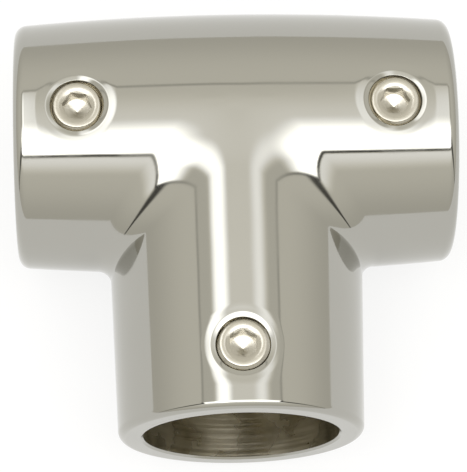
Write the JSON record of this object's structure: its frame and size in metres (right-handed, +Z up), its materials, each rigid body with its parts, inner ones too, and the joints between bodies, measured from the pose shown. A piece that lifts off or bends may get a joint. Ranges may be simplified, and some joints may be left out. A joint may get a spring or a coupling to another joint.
{
  "type": "tube clamp tee fitting",
  "caption": "Polished stainless tee fitting that joins round rail tubes at a right angle: an open run, a branch socket, and hex-socket set screws that clamp each tube.",
  "frame": {"origin": "crossing of the run's centre line and the branch's centre line", "axes": "+X along the run, the branch points along -Y, +Z up through the set screws, so the fitting lies on its back"},
  "size_m": [0.0508, 0.0508, 0.0305],
  "materials": {
    "cast_stainless": "polished",
    "screw_stainless": "satin"
  },
  "bodies": {
    "tee_body": {"tee_body": "cast_stainless"},
    "set_screw_left": {"set_screw_left": "screw_stainless"},
    "set_screw_right": {"set_screw_right": "screw_stainless"},
    "set_screw_branch": {"set_screw_branch": "screw_stainless"}
  },
  "joints": [
    {"name": "screw_travel_left", "type": "slide", "parent": "tee_body", "child": "set_screw_left", "axis": [0, 0, 1], "range_m": [-0.002, 0.002]},
    {"name": "screw_travel_right", "type": "slide", "parent": "tee_body", "child": "set_screw_right", "axis": [0, 0, 1], "range_m": [-0.002, 0.002]},
    {"name": "screw_travel_branch", "type": "slide", "parent": "tee_body", "child": "set_screw_branch", "axis": [0, 0, 1], "range_m": [-0.002, 0.002]}
  ]
}
